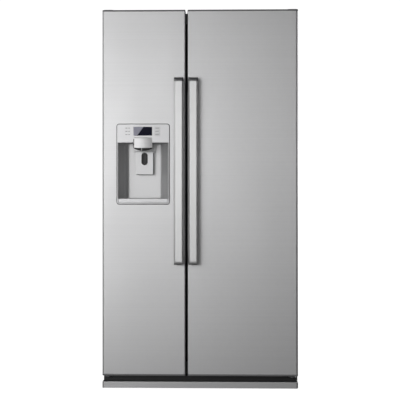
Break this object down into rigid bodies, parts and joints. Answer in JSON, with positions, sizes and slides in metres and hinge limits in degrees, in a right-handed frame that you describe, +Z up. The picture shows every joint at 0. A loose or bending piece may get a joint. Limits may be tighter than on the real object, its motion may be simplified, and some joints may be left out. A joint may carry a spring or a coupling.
{
  "type": "side by side refrigerator",
  "caption": "Side-by-side refrigerator with brushed steel doors, bar handles, a water and ice dispenser in the freezer door, and full interior fittings",
  "frame": {"origin": "centre of the footprint at floor level, doors facing -Y", "axes": "+X to the right of someone facing the doors, -Y towards them, +Z up"},
  "size_m": [0.912, 0.748, 1.7695],
  "materials": {
    "case_paint": "low sheen grey paint on the folded case",
    "galvanised": "zinc coated sheet",
    "foam": "rigid insulation foam, covered all over",
    "white_plastic": "white moulded plastic",
    "grey_plastic": "grey moulded plastic",
    "black_plastic": "black moulded plastic",
    "black_steel": "black painted steel",
    "stainless": "fine horizontal brushed grain, clear coated",
    "bare_aluminium": "bare tube and fins",
    "shelf_glass": "clear toughened glass with a ground edge",
    "clear_plastic": "clear moulded plastic",
    "hinge_steel": "plated steel",
    "seal_rubber": "soft grey magnetic seal",
    "handle_aluminium": "satin anodised bar",
    "handle_dark": "dark metallic end",
    "dispenser_silver": "silver painted plastic",
    "dispenser_grey": "grey recess, satin",
    "display_glass": "dark blue display window",
    "chute_chrome": "bright plated spout",
    "lever_grey": "light grey lever with a black pad",
    "zinc_steel": "zinc plated steel"
  },
  "bodies": {
    "cabinet": {"cabinet_wrapper": "case_paint", "rear_panel": "galvanised", "cabinet_insulation": "foam", "freezer_liner": "white_plastic", "fridge_liner": "white_plastic", "base_frame": "black_steel", "base_trim": "black_plastic", "kick_plate": "stainless", "compressor": "black_steel", "condenser_coil": "black_steel", "condenser_fan_motor": "black_steel", "evaporation_pan": "black_plastic", "machine_cover": "galvanised", "power_inlet": "galvanised", "water_valve": "white_plastic", "evaporator": "bare_aluminium", "evaporator_cover": "white_plastic", "air_duct": "white_plastic", "glass_shelves": "shelf_glass", "ice_maker": "grey_plastic", "ice_bin": "clear_plastic", "lower_hinges": "hinge_steel", "upper_hinges": "hinge_steel", "hinge_covers": "grey_plastic"},
    "freezer_door": {"freezer_door_skin": "stainless", "freezer_door_core": "foam", "freezer_door_liner": "white_plastic", "freezer_door_gasket": "seal_rubber", "freezer_door_caps": "grey_plastic", "freezer_handle_bar": "handle_aluminium", "freezer_handle_ends": "handle_dark", "freezer_door_bins": "clear_plastic", "dispenser_frame": "dispenser_silver", "dispenser_housing": "dispenser_grey", "dispenser_display": "display_glass", "dispenser_chute": "chute_chrome"},
    "fridge_door": {"fridge_door_skin": "stainless", "fridge_door_core": "foam", "fridge_door_liner": "white_plastic", "fridge_door_gasket": "seal_rubber", "fridge_door_caps": "grey_plastic", "fridge_handle_bar": "handle_aluminium", "fridge_handle_ends": "handle_dark", "fridge_door_bins": "clear_plastic"},
    "foot_left": {"levelling_foot_left": "zinc_steel"},
    "foot_right": {"levelling_foot_right": "zinc_steel"},
    "rollers": {"rear_rollers": "black_plastic"},
    "condenser_fan_rotor": {"condenser_fan": "black_plastic"},
    "evaporator_fan_rotor": {"evaporator_fan": "white_plastic"},
    "freezer_drawer_box": {"freezer_drawer": "clear_plastic"},
    "crisper_lower_box": {"crisper_lower": "clear_plastic"},
    "crisper_upper_box": {"crisper_upper": "clear_plastic"},
    "auger": {"ice_auger": "zinc_steel"},
    "flap": {"ice_flap": "grey_plastic"},
    "lever": {"dispenser_lever": "lever_grey"},
    "drip": {"drip_tray": "dispenser_silver"},
    "button_1": {"dispenser_button_1": "dispenser_silver"},
    "button_2": {"dispenser_button_2": "dispenser_silver"},
    "button_3": {"dispenser_button_3": "dispenser_silver"},
    "dairy_lid": {"dairy_cover": "clear_plastic"}
  },
  "joints": [
    {"name": "freezer_door_hinge", "type": "hinge", "parent": "cabinet", "child": "freezer_door", "pos_m": [-0.43, -0.274, 0.9], "axis": [0, 0, -1], "range_deg": [0, 110]},
    {"name": "fridge_door_hinge", "type": "hinge", "parent": "cabinet", "child": "fridge_door", "pos_m": [0.43, -0.274, 0.9], "axis": [0, 0, 1], "range_deg": [0, 110]},
    {"name": "foot_left_screw", "type": "hinge", "parent": "cabinet", "child": "foot_left", "pos_m": [-0.425, -0.196, 0.03], "axis": [0, 0, 1], "continuous": true},
    {"name": "foot_right_screw", "type": "hinge", "parent": "cabinet", "child": "foot_right", "pos_m": [0.425, -0.196, 0.03], "axis": [0, 0, 1], "continuous": true},
    {"name": "roller_axle", "type": "hinge", "parent": "cabinet", "child": "rollers", "pos_m": [0, 0.32, 0.019], "axis": [1, 0, 0], "continuous": true},
    {"name": "condenser_fan_axle", "type": "hinge", "parent": "cabinet", "child": "condenser_fan_rotor", "pos_m": [-0.04, 0.279, 0.146], "axis": [1, 0, 0], "continuous": true},
    {"name": "evaporator_fan_axle", "type": "hinge", "parent": "cabinet", "child": "evaporator_fan_rotor", "pos_m": [-0.246, 0.272, 1.21], "axis": [0, 1, 0], "continuous": true},
    {"name": "freezer_drawer_slide", "type": "slide", "parent": "cabinet", "child": "freezer_drawer_box", "axis": [0, -1, 0], "range_m": [0, 0.065]},
    {"name": "crisper_lower_slide", "type": "slide", "parent": "cabinet", "child": "crisper_lower_box", "axis": [0, -1, 0], "range_m": [0, 0.065]},
    {"name": "crisper_upper_slide", "type": "slide", "parent": "cabinet", "child": "crisper_upper_box", "axis": [0, -1, 0], "range_m": [0, 0.065]},
    {"name": "auger_shaft", "type": "hinge", "parent": "cabinet", "child": "auger", "pos_m": [-0.246, 0.005, 1.35], "axis": [0, 1, 0], "continuous": true},
    {"name": "flap_hinge", "type": "hinge", "parent": "freezer_door", "child": "flap", "pos_m": [-0.265, -0.201, 1.24], "axis": [1, 0, 0], "range_deg": [0, 45]},
    {"name": "lever_hinge", "type": "hinge", "parent": "freezer_door", "child": "lever", "pos_m": [-0.265, -0.243, 1.106], "axis": [1, 0, 0], "range_deg": [0, 12], "stiffness_Nm_per_rad": 0.6},
    {"name": "drip_slide", "type": "slide", "parent": "freezer_door", "child": "drip", "axis": [0, -1, 0], "range_m": [0, 0.085]},
    {"name": "dairy_hinge", "type": "hinge", "parent": "fridge_door", "child": "dairy_lid", "pos_m": [0.188, -0.24, 1.605], "axis": [1, 0, 0], "range_deg": [0, 45]},
    {"name": "button_1_push", "type": "slide", "parent": "freezer_door", "child": "button_1", "axis": [0, 1, 0], "range_m": [0, 0.0013], "stiffness_N_per_m": 400},
    {"name": "button_2_push", "type": "slide", "parent": "freezer_door", "child": "button_2", "axis": [0, 1, 0], "range_m": [0, 0.0013], "stiffness_N_per_m": 400},
    {"name": "button_3_push", "type": "slide", "parent": "freezer_door", "child": "button_3", "axis": [0, 1, 0], "range_m": [0, 0.0013], "stiffness_N_per_m": 400}
  ],
  "couplings": [
    {"joint": "flap_hinge", "follows": "lever_hinge", "ratio": 3.75}
  ]
}
